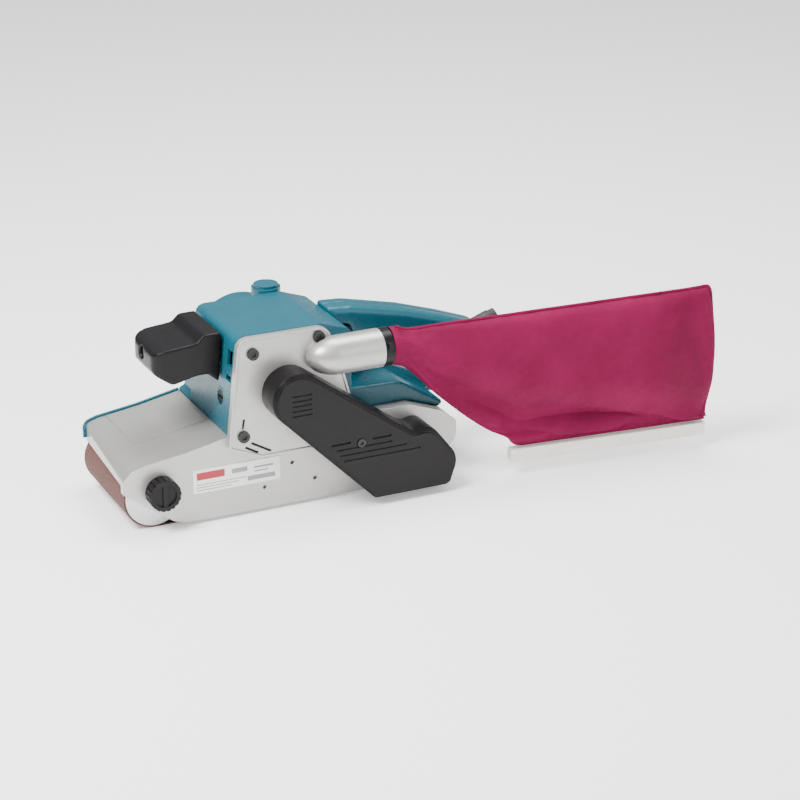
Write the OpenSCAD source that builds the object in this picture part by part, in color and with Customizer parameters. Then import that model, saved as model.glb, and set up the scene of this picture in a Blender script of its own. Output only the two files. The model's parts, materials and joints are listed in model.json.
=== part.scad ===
// Handheld belt sander, 100 x 610 mm belt, with dust bag. Millimetres.
// X runs to the rear, Y away from the drive side, Z up. The origin is the centre of the
// sanding face, midway between the rollers.

/* [Sanding belt and rollers] */
// Width of the sanding belt
belt_w = 100; // [75:1:120]
// Length of the sanding belt round its loop
belt_len = 610; // [533:1:732]
// Thickness of the sanding belt
belt_t = 1.2; // [0.8:0.1:2]
// Radius of both rollers
roller_r = 25; // [20.8:0.1:27]
// Wall of the hollow rollers
roller_wall = 4; // [3:0.5:6]
// Radius of both roller axles
axle_r = 5; // [4:0.5:6]

/* [Frame casting] */
// Thickness of the drive-side wall
wall_t = 5; // [4:0.5:7]
// Gap from the belt's edge to the drive-side wall
side_gap = 5; // [4.5:0.5:7]
// Thickness of the deck over the belt
deck_t = 3.5; // [3:0.5:5]
// Height of the deck above the top run of the belt
deck_rise = 19; // [18:0.5:26]
// Gap under the drive-side wall
sole_gap = 2.5; // [2:0.5:4]

/* [Motor] */
// Distance of the motor shaft behind the middle of the belt
motor_x = 18.6; // [10:0.1:26]
// Height of the motor shaft above the deck
motor_rise = 26.6; // [25.5:0.1:32]
// Outer radius of the stator
stator_r = 37; // [30.8:0.1:38]
// Length of the stator stack
stator_len = 55; // [40:1:60]
// Radius of the armature
armature_r = 22.5; // [18:0.5:24]
// Radius of the motor shaft
shaft_r = 4; // [3.5:0.5:5]
// Outer radius of the motor bearings
bearing_r = 8; // [7:0.5:9]
// Wall of the motor barrel
barrel_wall = 3.5; // [2.5:0.5:5]

/* [Motor housing] */
// Height of the motor housing above the deck
housing_h = 85; // [80:1:95]
// Width of the top of the motor housing
housing_w = 88; // [80:1:92]
// Wall of the moulded housings
shell_t = 3; // [2:0.5:4]
// Thickness of the drive-side plate
plate_t = 5; // [4:0.5:6]

/* [Gears and pulleys] */
// Gear module
gear_m = 0.8; // [0.7:0.05:0.9]
// Teeth on the motor pinion
pinion_teeth = 12; // [11:1:14]
// Teeth on the spur gear
gear_teeth = 38; // [34:1:40]
// Width of the gears
gear_w = 6; // [4:0.5:7]
// Pitch radius of the small pulley
pulley_small_r = 9.5; // [8:0.5:11]
// Pitch radius of the large pulley
pulley_large_r = 15.9; // [12:0.1:16]
// Width of the drive belt
drive_belt_w = 8; // [6:0.5:9]
// Depth of the drive-belt cover
cover_depth = 32; // [32:1:36]

/* [Dust extraction] */
// Outer radius of the dust nozzle
nozzle_r = 16.3; // [15:0.1:18]
// Radius of the nozzle's bore
nozzle_bore_r = 13.5; // [11:0.1:14]
// Radius of the dust fan
fan_r = 29; // [26:0.5:30]
// Length of the dust bag
bag_len = 290; // [240:5:320]
// Thickness of the filled dust bag
bag_t = 44; // [30:1:56]

/* [Grips] */
// Width of the rear handle
handle_w = 30; // [28:0.5:34]
// Width of the front grip
grip_w = 60; // [50:1:66]

/* [Tension and tracking] */
// Travel of the front roller when the tension is let off
tension_travel = 6; // [4:0.5:7]
// Radius of the tension slider's rod
slider_r = 7; // [6:0.5:8]
// Radius of the tracking knob
knob_r = 13.5; // [11:0.5:15]

/* [Clearances] */
// Radial clearance of shafts in their bores
fit = 0.05; // [0.03:0.01:0.08]
// Gap between parts that pass each other
run_gap = 0.3; // [0.25:0.05:0.4]
// Gap round loose moving parts
free_gap = 0.5; // [0.4:0.1:0.8]

/* [Hidden] */
$fn = 64;
hull_fn = 32;
arc_steps = 6;
eps = 0.01;

silver = [0.80, 0.79, 0.78];
teal = [0.20, 0.55, 0.64];
black = [0.18, 0.17, 0.19];
steel = [0.62, 0.63, 0.66];
magenta = [0.66, 0.18, 0.40];
belt_red = [0.50, 0.32, 0.29];

// Belt loop: half rings round both rollers and two straight runs
belt_in = roller_r + run_gap;
axle_z = belt_in + belt_t;
wheelbase = (belt_len - PI * (2 * belt_in + belt_t)) / 2;
fx = -wheelbase / 2;
rx = wheelbase / 2;
half_w = belt_w / 2;
belt_top = 2 * axle_z;

// Side planes, from the drive side to the far side
wall_y = -(half_w + side_gap);
near_y = wall_y - wall_t;
plate_y = near_y - plate_t;
cover_y = near_y - cover_depth;
far_y = half_w + 4;
arm_t = 3.5;
arm_y = half_w + free_gap;
bumper_t = 3;
deck_z = belt_top + deck_rise;

// Motor and gear shafts
mx = motor_x;
mz = deck_z + motor_rise;
gear_dir = 158.3;
gear_dist = gear_m * (pinion_teeth + gear_teeth) / 2;
gx = mx + gear_dist * cos(gear_dir);
gz = mz + gear_dist * sin(gear_dir);
barrel_r = stator_r + barrel_wall;
housing_top = deck_z + housing_h;
housing_y = near_y + housing_w;
housing_x0 = -50;
housing_x1 = mx + barrel_r + 0.9;
stator_y0 = -13;
stator_y1 = stator_y0 + stator_len;
barrel_y1 = stator_y1 + 42;
cap_depth = 8;
coil_out = stator_r - 7;
brush_y = -37;
commutator_r = 12;
brush_r = 6.5;
tube_r = 4.6;

// Stack outside the drive-side plate
gear_y1 = plate_y - 1;
gear_y0 = gear_y1 - gear_w;
case_y = gear_y0 - 1;
case_t = 3;
case_r = gear_m * gear_teeth / 2 + 4.3;
case_wall = 2.5;
pinion_case_r = 9.5;
pulley_y1 = case_y - case_t - 1;
pulley_w = drive_belt_w + 2;
pulley_y0 = pulley_y1 - pulley_w;
drive_belt_t = 1.5;
gear_shaft_r = 3.5;
gear_bearing_r = 6.5;
drive_bearing_r = 9;
cover_wall = 2;

// Dust nozzle and bag
nozzle_y = near_y - 10;
nozzle_z = mz + 33.4;
nozzle_x0 = mx - 2.6;
nozzle_tip = 26;
nozzle_x1 = housing_x1 + 20;
collar_len = 8;
spigot_len = 16;
bag_yaw = 5.5;
bag_x0 = nozzle_x1 + collar_len;
bag_top = nozzle_z + 20;
rail_z0 = 13;
rail_h = 11;
rail_x0 = 0.38 * bag_len;

// Tension and tracking
pivot_x = fx + 32.8;
pin_r = 3;
carrier_h = 14;
slider_back = pivot_x + 39;
spring_gap = tension_travel + 10;
frame_x0 = slider_back + spring_gap;
frame_x1 = rx - roller_r - 7;
frame_top = belt_top - 9;
platen_t = 1;
pad_t = 2.3;
platen_z = belt_t + run_gap + pad_t;
base_t = 4.2;
base_z = platen_z + platen_t;
plate_front = fx + roller_r + 2.8;
lever_x = frame_x0 - 14;
lever_y = arm_y + arm_t + 3;
lever_h = 11;
lever_len = 64;
lever_pin_r = 2.5;
knob_x = fx + 1.8;
knob_z = axle_z + 8.9;
knob_shaft_r = 4;
cam_r = 1.5;
eccentric = 0.27;

// Handle
handle_x0 = housing_x1;
handle_half = handle_w / 2;
body_near = 50;
body_far = 44;
bar_top = deck_z + 66;
screw_r = 2;
head_r = 5;
gland_r = 7;
cord_r = 4.1;
handle_round = 5;
trigger_w = 13;
trigger_x0 = handle_x0 + 34;
lock_r = 6;
lock_x = handle_x0 + 14.5;
lock_z = mz + 29.4;
gland_len = 22;
grip_y = -8;
grip_screw_z = housing_top - 20.3;

// Fixings, as [x, z], and slots in the drive plate, as [x, z, length, turn]
plate_screw_len = 12;
pinion_bore = 2.5;
cover_head_r = 3.6;
cover_screw_x = gx + 0.484 * (rx - gx);
cover_screw_z = gz - 0.579 * (gz - axle_z);
plate_screw_spots = [
    [housing_x0 + 20.6, housing_top - 14.5],
    [mx + 9.9, housing_top - 8.5],
    [housing_x0 + 11, deck_z + 0.1]
];
plate_slots = [
    [housing_x0 + 11.3, deck_z + 11, 8.5, -80],
    [housing_x0 + 26.5, deck_z - 11.8, 20, 30],
    [housing_x0 + 18, deck_z - 13, 13, 30]
];
handle_screw_spots = [
    [rx + 12, bar_top - 9],
    [rx + 82, deck_z + 22],
    [rx - 24, deck_z + 9],
    [rx + 14, deck_z + 4]
];

// ---- Outlines: points [x, y, radius], counter-clockwise ----

function unit(v) = v / norm(v);
function left_of(v) = [-v[1], v[0]];
function at(p) = [p[0], p[1]];
function rad(p) = len(p) > 2 ? p[2] : 0;

// A round corner as a short arc between the two edges that meet at b. Its radius is limited
// where the edges are too short for it.
function corner(a, b, c) =
    let (
        u = unit(at(a) - at(b)),
        v = unit(at(c) - at(b)),
        half = acos(max(-1, min(1, u * v))) / 2,
        reach = 0.499 * min(norm(at(a) - at(b)), norm(at(c) - at(b))),
        r = min(rad(b), reach * tan(half)),
        centre = r > 0 ? at(b) + unit(u + v) * r / sin(half) : at(b),
        p0 = at(b) + u * r / tan(half) - centre,
        p1 = at(b) + v * r / tan(half) - centre,
        a0 = atan2(p0[1], p0[0]),
        turn = atan2(p1[1], p1[0]) - a0,
        sweep = turn > 180 ? turn - 360 : turn < -180 ? turn + 360 : turn
    )
    r <= 0 ? [at(b)] : [for (i = [0:arc_steps])
        centre + r * [cos(a0 + sweep * i / arc_steps), sin(a0 + sweep * i / arc_steps)]];

function rounded(pts) = [for (i = [0:len(pts) - 1])
    each corner(pts[(i + len(pts) - 1) % len(pts)], pts[i], pts[(i + 1) % len(pts)])];

// The same outline drawn in by d, or out where d is negative
function inset(pts, d) = [for (i = [0:len(pts) - 1])
    let (
        a = pts[(i + len(pts) - 1) % len(pts)],
        b = pts[i],
        c = pts[(i + 1) % len(pts)],
        e1 = unit(at(b) - at(a)),
        e2 = unit(at(c) - at(b)),
        n1 = left_of(e1),
        n2 = left_of(e2),
        p = at(b) + d * (n1 + n2) / (1 + n1 * n2),
        convex = e1[0] * e2[1] - e1[1] * e2[0] > 0
    )
    [p[0], p[1], rad(b) > 0 ? max(0, rad(b) + (convex ? -d : d)) : 0]];

frame_outline = [
    [fx + 23.8, sole_gap, 8],
    [rx + 12, sole_gap, 12],
    [rx + 45.6, axle_z + 8, 12],
    [rx + 45.6, belt_top - 3, 6],
    [rx + 34, belt_top + 7.5, 8],
    [rx + 2, deck_z, 14],
    [housing_x0 - 0.6, deck_z, 6],
    [fx + 23.8, deck_z - 7.5, 20],
    [fx - 11.7, belt_top + 6.5, 14],
    [fx - 22, belt_top + 3.5, 6],
    [fx - 30.2, belt_top - 4, 5],
    [fx - 30.2, axle_z + 11, 2],
    [fx + 12.1, axle_z - 20, 5]
];
deck_plan = [
    [fx - 30.2, near_y, 2],
    [rx + 45.6, near_y, 2],
    [rx + 45.6, far_y, 6],
    [fx - 24, far_y, 7]
];
plate_outline = [
    [housing_x0 + 27, belt_top - 2, 3],
    [housing_x1 + 2, belt_top - 2, 3],
    [housing_x1 - 4, mz - 4, 8],
    [housing_x1 - 8, mz + 11, 8],
    [mx + 18, housing_top - 0.5, 12],
    [housing_x0 + 8, housing_top - 0.5, 9],
    [housing_x0 - 2.4, belt_top + 9.8, 3]
];
// The cover's upper lobe is a circle round the small pulley, with straight sides on to the
// dip before the lower lobe and to the toe below
lobe_r = case_r + free_gap + cover_wall + 0.4;
cover_dip = [rx - 9, belt_top + 7, 12];
cover_toe = [rx - 44, axle_z - 20, 5];
function tangent_dir(q, side) =
    atan2(q[1] - gz, q[0] - gx) + side * acos(lobe_r / norm([q[0] - gx, q[1] - gz]));
function lobe_corner(a, b) =
    let (reach = lobe_r / cos((b - a) / 2), mid = (a + b) / 2)
    [gx + reach * cos(mid), gz + reach * sin(mid), lobe_r];
lobe_a = tangent_dir(cover_dip, 1);
lobe_b = tangent_dir(cover_toe, -1) + 360;
lobe_mid = (lobe_a + lobe_b) / 2;
cover_outline = [
    cover_toe,
    [rx + 25, axle_z - 20, 6],
    [rx + 33.4, axle_z + 4, 18],
    [rx + 8, belt_top + 10, 22],
    cover_dip,
    lobe_corner(lobe_a, lobe_mid),
    lobe_corner(lobe_mid, lobe_b)
];
housing_outline = [
    [housing_x0, deck_z],
    [housing_x1, deck_z],
    [housing_x1, housing_top - 9, 5],
    [mx + 15, housing_top, 10],
    [housing_x0 + 8, housing_top, 8]
];
foot_outline = [
    [housing_x0, deck_z],
    [housing_x1, deck_z],
    [housing_x1, deck_z + 34, 8],
    [housing_x0 + 8, deck_z + 34, 10],
    [housing_x0 + 5, deck_z + 5, 2],
    [housing_x0, deck_z + 2.5, 1]
];
body_outline = [
    [handle_x0, deck_z],
    [rx + 2, deck_z, 14],
    [rx + 34, belt_top + 7.5, 4],
    [rx + 39, belt_top + 12, 4],
    [rx - 2, deck_z + 18, 18],
    [handle_x0, deck_z + 19.5]
];
handle_outline = [
    [handle_x0, deck_z],
    [rx + 2, deck_z, 14],
    [rx + 34, belt_top + 7.5, 10],
    [rx + 60, belt_top + 4, 8],
    [rx + 94, deck_z + 4, 14],
    [rx + 102, deck_z + 26, 12],
    [rx + 92, bar_top - 24, 12],
    [rx + 59, bar_top - 12, 40],
    [rx + 21, bar_top, 40],
    [handle_x0 + 22, bar_top + 11.5, 20],
    [handle_x0, bar_top + 13]
];
opening_outline = [
    [handle_x0 + 28, deck_z + 23, 7],
    [rx - 3, deck_z + 22, 12],
    [rx + 38, deck_z + 4, 8],
    [rx + 78, deck_z + 12, 8],
    [rx + 74, bar_top - 38, 10],
    [rx + 38, bar_top - 28, 30],
    [rx - 6, bar_top - 18, 30],
    [handle_x0 + 28, bar_top - 16, 8]
];
grip_outline = [
    [housing_x0 - 8, housing_top - 36.6, 5],
    [housing_x0 + 2, mz + 13, 1],
    [housing_x0 + 4.7, housing_top - 2.6, 1],
    [housing_x0 - 10, housing_top - 2.7, 4],
    [housing_x0 - 17, housing_top - 9, 4],
    [housing_x0 - 45, housing_top - 11.5, 8],
    [housing_x0 - 54, housing_top - 14, 6],
    [housing_x0 - 54, housing_top - 31, 8],
    [housing_x0 - 38, housing_top - 42, 7],
    [housing_x0 - 20, housing_top - 37.5, 8]
];
trigger_outline = [
    [trigger_x0 + 2, bar_top - 33, 4],
    [trigger_x0 + 20, bar_top - 31, 5],
    [trigger_x0 + 22, bar_top - 14.5, 2],
    [trigger_x0, bar_top - 11, 3]
];

// ---- Building blocks ----

// Extrude an outline that lies in X-Z from y0 to y1
module slab(y0, y1) {
    translate([0, y1, 0]) rotate([90, 0, 0]) linear_extrude(y1 - y0) children();
}
module rod_x(r, x0, x1, y, z) {
    translate([x0, y, z]) rotate([0, 90, 0]) cylinder(r = r, h = x1 - x0);
}
module rod_y(r, y0, y1, x, z) {
    translate([x, y0, z]) rotate([-90, 0, 0]) cylinder(r = r, h = y1 - y0);
}
module rod_z(r, z0, z1, x, y) {
    translate([x, y, z0]) cylinder(r = r, h = z1 - z0);
}
module block(x0, x1, y0, y1, z0, z1) {
    translate([x0, y0, z0]) cube([x1 - x0, y1 - y0, z1 - z0]);
}
module ring_y(r_out, r_in, y0, y1, x, z) {
    difference() {
        rod_y(r_out, y0, y1, x, z);
        rod_y(r_in, y0 - 1, y1 + 1, x, z);
    }
}
module bearing(r_in, r_out, y0, y1, x, z) {
    groove = (r_out - r_in) / 4;
    mid = (r_out + r_in) / 2;
    difference() {
        ring_y(r_out, r_in, y0, y1, x, z);
        ring_y(mid + groove, mid - groove, y0 - 1, y0 + 0.6, x, z);
        ring_y(mid + groove, mid - groove, y1 - 0.6, y1 + 1, x, z);
    }
}
// Points of an involute gear with its first tooth along +X
function involute(a) = tan(a) - a * PI / 180;
function half_tooth(m, teeth, r, thin) =
    let (pitch = m * teeth / 2, base = pitch * cos(20))
    (PI / (2 * teeth) - thin / (2 * pitch) + involute(20) - involute(acos(min(1, base / r))))
    * 180 / PI;
function gear_points(m, teeth, tip, root, thin) =
    let (
        pitch = m * teeth / 2,
        r0 = max(pitch * cos(20), pitch - root * m),
        r1 = pitch + tip * m,
        steps = 4
    )
    [for (i = [0:teeth - 1]) each [
        [for (k = [0]) let (a = i * 360 / teeth - half_tooth(m, teeth, r0, thin))
            (pitch - root * m) * [cos(a), sin(a)]],
        [for (k = [0:steps]) let (r = r0 + (r1 - r0) * k / steps,
            a = i * 360 / teeth - half_tooth(m, teeth, r, thin)) r * [cos(a), sin(a)]],
        [for (k = [steps:-1:0]) let (r = r0 + (r1 - r0) * k / steps,
            a = i * 360 / teeth + half_tooth(m, teeth, r, thin)) r * [cos(a), sin(a)]],
        [for (k = [0]) let (a = i * 360 / teeth + half_tooth(m, teeth, r0, thin))
            (pitch - root * m) * [cos(a), sin(a)]]
    ]];
function flat(list) = [for (part = list) each part];
module gear_shape(teeth, turn) {
    tip = 0.7;
    root = 1.15;
    backlash = 0.16;
    rotate(turn) polygon(flat(gear_points(gear_m, teeth, tip, root, backlash)));
}
module roller(x) {
    end_t = 6;
    difference() {
        rod_y(roller_r, -half_w, half_w, x, axle_z);
        rod_y(roller_r - roller_wall, -half_w + end_t, half_w - end_t, x, axle_z);
        children();
    }
}
module screw_x(x_head, len, y, z) {
    difference() {
        union() {
            rod_x(head_r, x_head, x_head + 3, y, z);
            rod_x(screw_r, x_head, x_head + len, y, z);
        }
        rod_x(head_r * 0.45, x_head - 1, x_head + 1.8, y, z);
    }
}
module screw_y(y_head, len, x, z, r = screw_r, head = head_r) {
    difference() {
        union() {
            rod_y(head, y_head, y_head + 2.5, x, z);
            rod_y(r, y_head, y_head + len, x, z);
        }
        translate([x, y_head - 1, z]) rotate([-90, 0, 0]) cylinder(r = head * 0.5, h = 2.2, $fn = 6);
    }
}

// ---- Frame ----

module plate_screw_holes() {
    for (p = plate_screw_spots) {
        rod_y(screw_r, plate_y - 1, plate_y + plate_screw_len - 2.5, p[0], p[1]);
        rod_y(head_r + fit, plate_y - 4, plate_y, p[0], p[1]);
    }
}
module deck_shell() {
    intersection() {
        difference() {
            slab(near_y, far_y) polygon(rounded(frame_outline));
            slab(near_y - 1, far_y + 1) polygon(rounded(inset(frame_outline, deck_t)));
        }
        linear_extrude(deck_z + 1) polygon(rounded(deck_plan));
    }
    // Front lip and its return at the far corner
    intersection() {
        slab(near_y, far_y) polygon(rounded(frame_outline));
        difference() {
            linear_extrude(deck_z + 1) polygon(rounded(deck_plan));
            translate([0, 0, -1]) linear_extrude(deck_z + 3) polygon(rounded(inset(deck_plan, deck_t)));
        }
        block(fx - 40, fx - 6, wall_y - 1, far_y + 1, belt_top - 9, deck_z);
    }
}
module base_frame() {
    cut_x = 33;
    panel_t = 1;
    color(silver) difference() {
        union() {
            slab(near_y, wall_y) polygon(rounded(frame_outline));
            difference() {
                deck_shell();
                block(fx - 60, 0, wall_y, far_y + 1, -1, belt_top - 9);
                block(-1, rx + 60, wall_y, far_y + 1, -1, axle_z + 8);
            }
            // Raised panel on the deck
            intersection() {
                slab(-17, far_y - 3) polygon(rounded(inset(frame_outline, -panel_t)));
                difference() {
                    block(fx - 5, housing_x0 - 3, -17, far_y - 3, belt_top, deck_z + 3);
                    slab(-18, far_y) polygon(rounded(inset(frame_outline, deck_t / 2)));
                }
            }
        }
        // Cut-outs for the motor barrel and the dust fan
        block(mx - cut_x, mx + cut_x, wall_y, far_y + 2, belt_top + 2, deck_z + 5);
        rod_y(fan_r + 3, near_y - 1, wall_y + eps, mx, mz);
        rod_y(drive_bearing_r, near_y - 1, wall_y + 1, rx, axle_z);
        rod_y(knob_shaft_r + 3, near_y - 1, wall_y + 1, knob_x, knob_z);
        for (p = [[5.6, 39.2], [-19.4, 21.6], [25.9, 21.6]]) rod_y(1.7, near_y - 1, near_y + 3, p[0], p[1]);
        rod_y(screw_r, near_y - 1, wall_y + 1, cover_screw_x, cover_screw_z);
        plate_screw_holes();
    }
}
// Cast bridge inside the belt loop: it holds the platen, the slider and both far bearings
module inner_frame() {
    wall = 4;
    arm_r = 13;
    lug_y = 14;
    color(silver) difference() {
        union() {
            block(plate_front, frame_x1, wall_y, half_w, base_z, base_z + base_t);
            difference() {
                block(frame_x0, frame_x1, wall_y, arm_y, base_z, frame_top);
                block(
                    frame_x0 + wall, frame_x1 - wall, wall_y + wall, half_w + 2,
                    base_z + base_t, frame_top - wall
                );
            }
            rod_x(slider_r + 4, frame_x0, frame_x0 + 30, 0, axle_z);
            // Far arm to the drive roller's outer bearing
            block(frame_x0, rx, arm_y, arm_y + arm_t, axle_z - arm_r, axle_z + arm_r);
            rod_y(arm_r, arm_y, arm_y + arm_t, rx, axle_z);
            // Lugs for the tension lever
            for (z = [axle_z - lever_h / 2 - free_gap - 4, axle_z + lever_h / 2 + free_gap]) {
                block(lever_x, frame_x0 + 4, arm_y - lug_y, arm_y, z, z + 4);
                rod_z(8, z, z + 4, lever_x, lever_y);
                block(lever_x - 8, lever_x + 8, arm_y - lug_y, lever_y, z, z + 4);
            }
        }
        rod_x(slider_r + fit, frame_x0 - 1, frame_x0 + 31, 0, axle_z);
        rod_y(drive_bearing_r, arm_y - 1, arm_y + arm_t + 1, rx, axle_z);
        rod_z(lever_pin_r, 0, frame_top, lever_x, lever_y);
        platen_holes(1.6, base_z - 1, base_z + base_t + 1);
    }
}
module platen_holes(r, z0, z1) {
    for (x = [plate_front + 9, frame_x1 - 9], y = [-half_w + 12, half_w - 12]) rod_z(r, z0, z1, x, y);
}
module platen() {
    color(steel) difference() {
        block(plate_front, frame_x1, -half_w, half_w, platen_z, platen_z + platen_t);
        platen_holes(1.6, 0, base_z + 1);
    }
}
module platen_pad() {
    color([0.25, 0.22, 0.2]) difference() {
        block(plate_front + 2, frame_x1 - 2, -half_w + 1, half_w - 1, platen_z - pad_t, platen_z);
        platen_holes(3.4, 0, platen_z + 1);
    }
}
module platen_screws() {
    color(steel) {
        platen_holes(3, platen_z - 1.5, platen_z);
        platen_holes(1.6, platen_z - eps, base_z + base_t);
    }
}
module half_loop(x, turn) {
    translate([x, half_w, axle_z]) rotate([90, turn, 0])
        rotate_extrude(angle = 180, $fn = 128) translate([belt_in, 0]) square([belt_t, belt_w]);
}
module sanding_belt() {
    color(belt_red) {
        half_loop(fx, -90);
        half_loop(rx, 90);
        block(fx, rx, -half_w, half_w, 0, belt_t);
        block(fx, rx, -half_w, half_w, belt_top - belt_t, belt_top);
    }
}
// Moulded strip along the far top edge of the casting
module far_bumper() {
    drop = 6;
    color(teal) intersection() {
        difference() {
            slab(far_y - 8, far_y + bumper_t) polygon(rounded(inset(frame_outline, -1.5)));
            slab(far_y - 9, far_y + bumper_t + 1) polygon(rounded(inset(frame_outline, drop)));
            translate([0, 0, -1]) linear_extrude(deck_z + 9) polygon(rounded(deck_plan));
        }
        translate([0, 0, belt_top - 6]) linear_extrude(deck_z)
            polygon(rounded(inset(deck_plan, -bumper_t)));
        block(fx - 40, housing_x0 - 0.2, far_y - 8, far_y + bumper_t + 1, 0, deck_z + 4);
    }
}
module name_plate() {
    t = 0.5;
    color("white") slab(near_y - t, near_y) polygon(rounded([
        [housing_x0 - 32, axle_z + 0.5, 1.5],
        [housing_x0 + 44.5, axle_z + 0.5, 1.5],
        [housing_x0 + 44.5, belt_top - 5.5, 1.5],
        [housing_x0 - 32, belt_top - 5.5, 1.5]
    ]));
}

// ---- Drive side ----

module gear_case_shape(grow) {
    rod_y(case_r - grow, case_y, plate_y, gx, gz);
    rod_y(pinion_case_r - grow, case_y, plate_y, mx, mz);
}
module nozzle_shape(r, reach) {
    // Ogive from the tip to the full radius, then straight on
    nose = [for (k = [11:-1:1]) [r * sqrt(1 - pow(1 - k / 12, 2)), nozzle_tip * k / 12]];
    translate([nozzle_x0, nozzle_y, nozzle_z]) rotate([0, 90, 0]) rotate_extrude()
        polygon(concat([[0, 0], [0, reach], [r, reach], [r, nozzle_tip]], nose));
}
module drive_plate() {
    edge = 2;
    color(silver) difference() {
        union() {
            slab(plate_y, near_y) polygon(rounded(plate_outline));
            // Raised rim round the plate
            difference() {
                slab(plate_y - 1, plate_y) polygon(rounded(plate_outline));
                slab(plate_y - 2, plate_y + 1) polygon(rounded(inset(plate_outline, edge)));
                slab(plate_y - 2, plate_y) polygon(rounded(inset(cover_outline, -1)));
            }
            gear_case_shape(0);
            nozzle_shape(nozzle_r, nozzle_x1 - nozzle_x0);
        }
        rod_x(nozzle_bore_r, nozzle_x0 + nozzle_tip - 8, nozzle_x1 + 1, nozzle_y, nozzle_z);
        // Port from the fan chamber into the nozzle
        block(
            nozzle_x0 + nozzle_tip - 8, housing_x1 - 16, near_y - 4, near_y + 9,
            nozzle_z - nozzle_r - 1, mz + fan_r + 2
        );
        intersection() {
            block(-90, housing_x1 - 6, near_y, near_y + 20, 0, housing_top);
            difference() {
                rod_x(nozzle_r + 1, -20, housing_x1, nozzle_y, nozzle_z);
                rod_x(nozzle_bore_r, -21, housing_x1 + 1, nozzle_y, nozzle_z);
            }
        }
        rod_y(case_r - case_wall, case_y - 1, gear_y1 + 1, gx, gz);
        rod_y(pinion_case_r - case_wall, case_y - 1, gear_y1 + 1, mx, mz);
        rod_y(gear_bearing_r, plate_y - 1, near_y + 1, gx, gz);
        rod_y(shaft_r + 1, plate_y - 1, near_y + 1, mx, mz);
        plate_screw_holes();
        rod_y(screw_r, plate_y - 1, near_y + 1, cover_screw_x, cover_screw_z);
        // Shallow decorative slots
        for (p = plate_slots) translate([p[0], plate_y - 2, p[1]]) rotate([0, p[3], 0])
            block(-p[2] / 2, p[2] / 2, 0, 3, -1, 1);
    }
}
module plate_screws() {
    color(black) for (p = plate_screw_spots) screw_y(plate_y - 2.5, plate_screw_len, p[0], p[1]);
}
module gear_case_cover() {
    color(steel) difference() {
        translate([0, case_y - plate_y, 0]) intersection() {
            gear_case_shape(0);
            block(-200, 200, plate_y - case_t, plate_y, 0, 300);
        }
        rod_y(gear_bearing_r, case_y - case_t - 1, case_y + 1, gx, gz);
    }
}
module gear_bearings() {
    color("silver") {
        bearing(gear_shaft_r + fit, gear_bearing_r, plate_y, near_y, gx, gz);
        bearing(gear_shaft_r + fit, gear_bearing_r, case_y - case_t, case_y, gx, gz);
    }
}
module gear_shaft() {
    color(steel) rod_y(gear_shaft_r, pulley_y0 - 1, near_y - 0.4, gx, gz);
}
module spur_gear() {
    color(steel) difference() {
        translate([gx, 0, gz]) slab(gear_y0, gear_y1)
            gear_shape(gear_teeth, gear_dir + 180 + 180 / gear_teeth);
        rod_y(gear_shaft_r, gear_y0 - 1, gear_y1 + 1, gx, gz);
    }
}
module motor_pinion() {
    color(steel) difference() {
        translate([mx, 0, mz]) slab(gear_y0, gear_y1) gear_shape(pinion_teeth, gear_dir);
        rod_y(pinion_bore, gear_y0 - 1, gear_y1 + 1, mx, mz);
    }
}
module pulley(r, bore, x, z) {
    flange_t = 0.8;
    color(black) difference() {
        union() {
            rod_y(r - run_gap, pulley_y0, pulley_y1, x, z);
            for (y = [pulley_y0, pulley_y1 - flange_t]) rod_y(r + 0.9, y, y + flange_t, x, z);
        }
        rod_y(bore, pulley_y0 - 1, pulley_y1 + 1, x, z);
    }
}
module small_pulley() pulley(pulley_small_r, gear_shaft_r, gx, gz);
module large_pulley() pulley(pulley_large_r, axle_r, rx, axle_z);
module two_circles(grow) {
    hull() {
        translate([gx, gz]) circle(r = pulley_small_r + grow, $fn = hull_fn * 2);
        translate([rx, axle_z]) circle(r = pulley_large_r + grow, $fn = hull_fn * 2);
    }
}
module drive_belt() {
    color(black) slab(pulley_y0 + 1, pulley_y1 - 1) difference() {
        two_circles(drive_belt_t);
        two_circles(0.03);
    }
}
module cover_details() {
    // Short grooves over the small pulley, long ones in the middle
    for (k = [0:4]) translate([gx + 2, cover_y, gz + 5 - 4.3 * k]) block(-8.5, 8.5, -1, 0.8, -0.9, 0.9);
    for (k = [0:2]) translate([cover_screw_x + 3 + 8 * k, cover_y, cover_screw_z - 3 - 5.2 * k])
        block(-25 - 5 * k, 25 + 5 * k, -1, 0.8, -0.8, 0.8);
    for (s = [-1, 1]) translate([cover_screw_x + 18.5 * s, cover_y, cover_screw_z + 2.4])
        block(-8.5, 8.5, -1, 1.2, -1.2, 1.2);
}
module drive_belt_cover() {
    bevel = 4;
    boss_r = 5;
    color(black) difference() {
        union() {
            difference() {
                union() {
                    slab(cover_y + bevel, near_y) polygon(rounded(cover_outline));
                    for (k = [0:3]) {
                        d = bevel * (1 - sin(90 * (k + 0.5) / 4));
                        slab(cover_y + bevel * k / 4, cover_y + bevel)
                            polygon(rounded(inset(cover_outline, d)));
                    }
                }
                slab(cover_y + cover_wall, near_y + 1) polygon(rounded(inset(cover_outline, cover_wall)));
                cover_details();
            }
            rod_y(boss_r, cover_y + cover_wall, near_y, cover_screw_x, cover_screw_z);
        }
        rod_y(screw_r, cover_y - 1, near_y + 1, cover_screw_x, cover_screw_z);
        rod_y(cover_head_r + 0.2, cover_y - 1, cover_y + 1.5, cover_screw_x, cover_screw_z);
        slab(plate_y, near_y + 1) polygon(rounded(inset(plate_outline, -0.2)));
    }
}
module cover_screw() {
    color(steel)
        screw_y(cover_y - 1, cover_depth + wall_t, cover_screw_x, cover_screw_z, screw_r, cover_head_r);
}

// ---- Motor ----

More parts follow.
